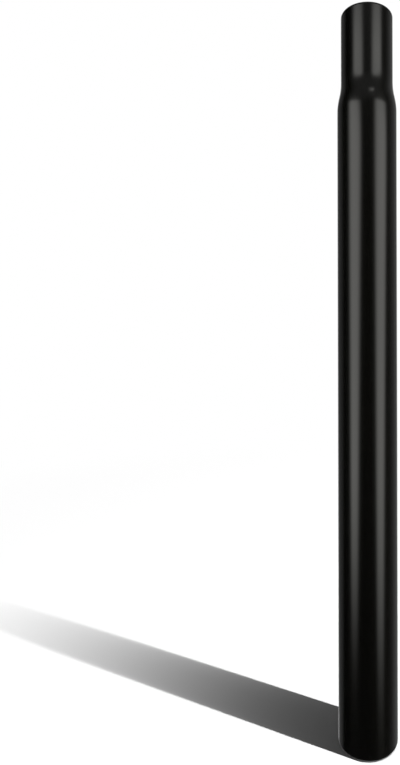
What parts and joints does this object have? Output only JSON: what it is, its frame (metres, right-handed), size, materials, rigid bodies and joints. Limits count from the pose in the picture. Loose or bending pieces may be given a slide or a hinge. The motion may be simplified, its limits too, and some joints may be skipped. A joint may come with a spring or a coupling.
{
  "type": "bicycle seatpost",
  "caption": "Straight round bicycle seatpost: a black painted steel tube, swaged at its top to a narrower neck that takes the saddle clamp.",
  "frame": {"origin": "middle of the lower end, on the surface that the post stands on", "axes": "+Z along the post's axis, from the body towards the narrower neck"},
  "size_m": [0.0254, 0.0254, 0.31],
  "materials": {
    "black_paint": "satin black paint on a steel tube"
  },
  "bodies": {
    "root": {"seatpost": "black_paint"}
  },
  "joints": []
}
